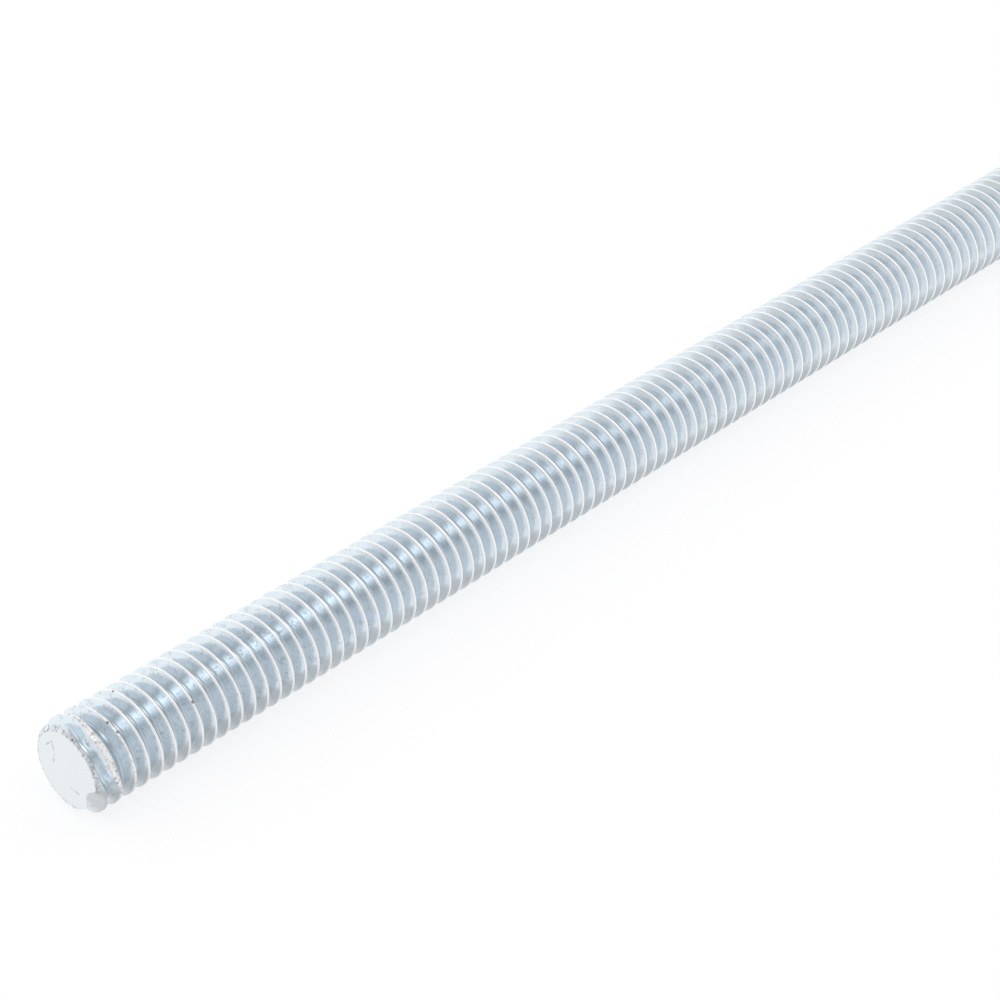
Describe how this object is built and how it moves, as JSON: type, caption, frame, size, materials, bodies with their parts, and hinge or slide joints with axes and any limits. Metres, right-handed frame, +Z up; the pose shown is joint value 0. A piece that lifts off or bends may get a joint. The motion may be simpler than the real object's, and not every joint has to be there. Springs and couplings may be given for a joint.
{
  "type": "threaded rod",
  "caption": "Straight steel rod with a rolled metric thread along its whole length and a small chamfer at each cut end, bright zinc plated.",
  "frame": {"origin": "on the thread's axis, at the centre of the start face", "axes": "+X along the rod from the start face to the end face, +Z up, with the rod lying level"},
  "size_m": [0.1, 0.0058, 0.0058],
  "materials": {
    "zinc_plated_steel": "bright blue-white zinc plating on rolled steel, streaked along the thread, soiled grey-brown at the cut end"
  },
  "bodies": {
    "root": {"threaded_rod": "zinc_plated_steel"}
  },
  "joints": []
}
